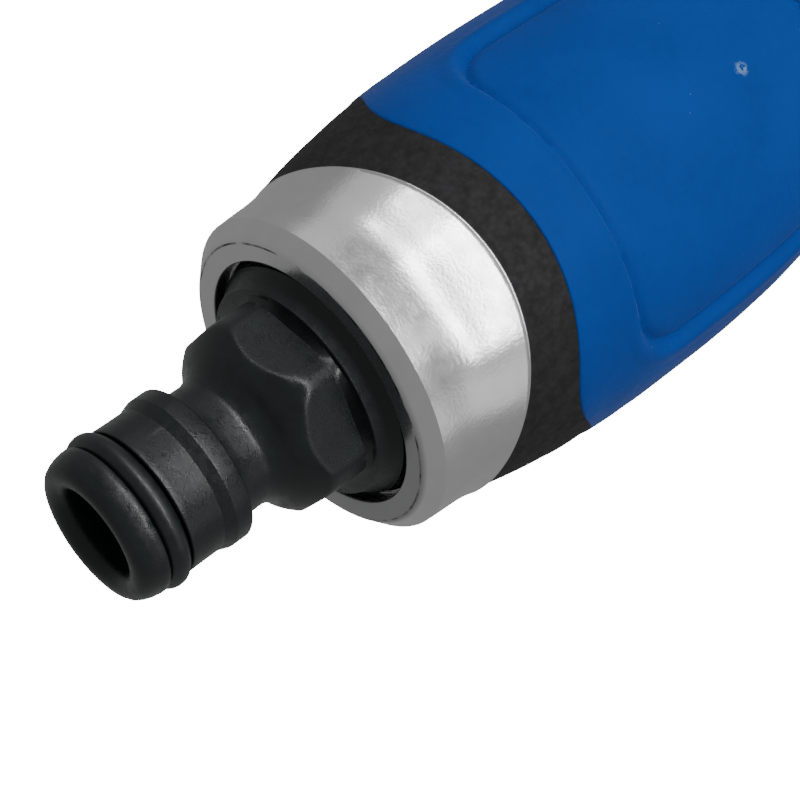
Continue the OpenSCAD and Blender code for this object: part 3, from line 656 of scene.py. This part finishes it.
class SPRAY_OT_grip_sleeve(bpy.types.Operator):
    """Blue rubber sleeve with a shallow inset panel on each broad side"""
    bl_idname = "spray_gun.grip_sleeve"
    bl_label = "Grip sleeve"

    def execute(self, context):
        s = context.scene.gun_grip
        low, high, edge, depth, rows = 44.0, 97.0, s.edge/MM, s.panel/MM, s.rows
        lip = 0.22
        skin = [(20, low + lip + (high - edge - low - lip)*k/rows) for k in range(1, rows)]
        outline = ([(SLEEVE_BORE, high), (SLEEVE_BORE, 70), (SLEEVE_BORE, low), (18, low), (19.3, low)]
                   + arc(20 - lip, low + lip, lip, -90, 0, 3) + skin
                   + arc(20 - edge, high - edge, edge, 0, 90, 5) + [(18.5, high), (SLEEVE_BORE, high)])
        sleeve = turned("grip_sleeve_piece", outline, 288)

        def between_ends(x, y, z):
            gx, gz = at(19.9, x, z)
            t = max(0.0, min(1.0, (y - low)/(high - low)))
            bottom, top = band_edge(gx, gz), 97 + math.tan(math.radians(14))*gx
            return x, y + (1 - t)**2*(bottom - low) + t**1.5*(top - high), z
        reshaped(sleeve, between_ends)
        to_grip(sleeve, 20, 0)
        pushed(sleeve, lambda x, y, z: -panel_depth(x, y, z, depth) if math.hypot(x, z) > 17.5 else 0)
        # the gate mark of the mould: a small dent with a nib in it, on the upper broad side
        gx, gy, gz = GATE
        pushed(sleeve, lambda x, y, z: nib(x, y, z, gx, gy, gz, 0.2, 0.5)
               - nib(x, y, z, gx, gy - 0.8, gz, 0.3, 0.6))
        shown(sleeve, "gun", "blue", "blue_rubber", "grip_sleeve", smooth=40)
        return {"FINISHED"}


# ---------------------------------------------------------------- the rest, from the solids

DRESSED = [
    ("body_casting", 0.5), ("rear_cover", 0.5), ("trigger", 0.5), ("flow_gland", 0.2),
    ("gland_nut", 0.15), ("flow_knob", 0.4), ("dial_body", 0.25), ("face_plate", 0.12),
    ("nozzle_inserts", 0.1), ("dial_grip_ring", 0.35), ("face_bezel", 0.3), ("pivot_screw", 0.12),
    ("knob_screw", 0.12), ("cover_screws", 0.12), ("trigger_pin", 0.1), ("pin_clip", 0.08),
    ("trigger_pad", 0.3), ("plunger_cap", 0.0), ("valve_plunger", 0.1), ("inlet_strainer", 0.1),
    ("flow_plug", 0.1), ("pivot_washer", 0.08), ("inlet_washer", 0.1),
]


class SPRAY_OT_hardware(bpy.types.Operator):
    """Pieces that keep the solid's shape, with their edges rounded"""
    bl_idname = "spray_gun.hardware"
    bl_label = "Casting, trigger, turret and small parts"

    def execute(self, context):
        record = frame["record"]
        body_of = {n: b for b, ns in record["behaviour"]["bodies"].items() for n in ns}
        slot_of = {p["node"]: p["material_slot"] for p in record["subparts"]}
        for node, width in DRESSED:
            ob = copied(node)
            if width:
                softened(ob, width)
            shown(ob, body_of[node], SLOT_FINISH[slot_of[node]], slot_of[node], node, smooth=35)
        return {"FINISHED"}


# ---------------------------------------------------------------- stage

def lamp(name, at, wide, power_w, deep, aim=(0, 0.03, 0)):
    """A rectangular light, its width across the view and its other side along the gun, aimed at the collar."""
    data = bpy.data.lights.new(name, "AREA")
    data.shape, data.size, data.size_y, data.energy = "RECTANGLE", wide, deep, power_w
    ob = bpy.data.objects.new(name, data)
    bpy.context.scene.collection.objects.link(ob)
    ob.location = at
    ob.rotation_euler = (Vector(aim) - Vector(at)).to_track_quat("-Z", "Y").to_euler()


class SPRAY_OT_stage(bpy.types.Operator):
    """Plain white floor, soft light and the camera"""
    bl_idname = "spray_gun.stage"
    bl_label = "Stage"

    def execute(self, context):
        s = context.scene.gun_stage
        clear()
        bpy.ops.mesh.primitive_plane_add(size=40, location=(0, 0.0444, -0.0197 - 0.0002))
        floor = name_new("floor")
        floor.rotation_euler = (-math.atan(0.0515), 0, 0)
        f = Finish("plain_white_floor", rough=0.8)
        f.colour(f.mixed(f.fade(f.noise(60), 0.3, 0.7), (0.9, 0.9, 0.9), (0.92, 0.92, 0.92)))
        f.shader.inputs["Emission Color"].default_value = (1, 1, 1, 1)
        f.shader.inputs["Emission Strength"].default_value = s.floor
        floor.data.materials.append(f.material)
        floor.visible_diffuse = floor.visible_glossy = False

        world = bpy.data.worlds.new("white_room")
        world.use_nodes = True
        world.node_tree.nodes["Background"].inputs[0].default_value = (1, 1, 1, 1)
        world.node_tree.nodes["Background"].inputs[1].default_value = s.room
        context.scene.world = world

        lamp("top_light", (0.12, 0.12, 0.59), 0.84, s.top, 0.06, (0.12, 0.03, 0))
        lamp("back_light", (0.15, 0.27, 0.52), 0.22, s.back, 0.06)
        lamp("side_light", (-0.4, 0.11, 0.52), 0.065, s.side, 0.5)
        lamp("left_card", (-0.57, 0.2, 0.17), 0.3, s.card*0.6, 0.3)
        lamp("right_card", (0.57, 0.15, 0.25), 0.3, s.card, 0.3)

        camera = bpy.data.objects.new("camera", bpy.data.cameras.new("camera"))
        context.scene.collection.objects.link(camera)
        camera.matrix_world = Matrix((
            (0.57606, -0.81674, -0.03302, 0.0),
            (0.71439, 0.52267, -0.46525, -0.05647),
            (0.39725, 0.24442, 0.88456, 0.17065),
            (0, 0, 0, 1)))
        camera.data.lens, camera.data.sensor_width = 90, 36
        camera.data.clip_start, camera.data.clip_end = 0.01, 10
        context.scene.camera = camera
        return {"FINISHED"}


# ---------------------------------------------------------------- panel and registration

STEPS = (SPRAY_OT_finishes, SPRAY_OT_hose_tail, SPRAY_OT_end_collar, SPRAY_OT_handle_band,
         SPRAY_OT_grip_sleeve, SPRAY_OT_hardware, SPRAY_OT_stage)
SETTINGS = {"gun_tail": TailSizes, "gun_collar": CollarSizes, "gun_grip": GripSizes,
            "gun_finishes": Finishes, "gun_stage": StageSizes}


class SPRAY_PT_panel(bpy.types.Panel):
    """Steps and sizes of the spray gun"""
    bl_idname = "SPRAY_PT_panel"
    bl_label = "Spray Gun"
    bl_space_type = "VIEW_3D"
    bl_region_type = "UI"
    bl_category = "Spray Gun"

    def draw(self, context):
        for step_class in STEPS:
            self.layout.operator(step_class.bl_idname)
        for name, group in SETTINGS.items():
            box = self.layout.box()
            for field in group.__annotations__:
                box.prop(getattr(context.scene, name), field)


CLASSES = (*SETTINGS.values(), *STEPS, SPRAY_PT_panel)


def register():
    for c in CLASSES:
        bpy.utils.register_class(c)
    for name, group in SETTINGS.items():
        setattr(bpy.types.Scene, name, PointerProperty(type=group))


def unregister():
    for name in SETTINGS:
        delattr(bpy.types.Scene, name)
    for c in reversed(CLASSES):
        bpy.utils.unregister_class(c)


def main():
    register()
    for made in STEPS:
        group, call = made.bl_idname.split(".")
        getattr(getattr(bpy.ops, group), call)()


if __name__ == "__main__":
    main()
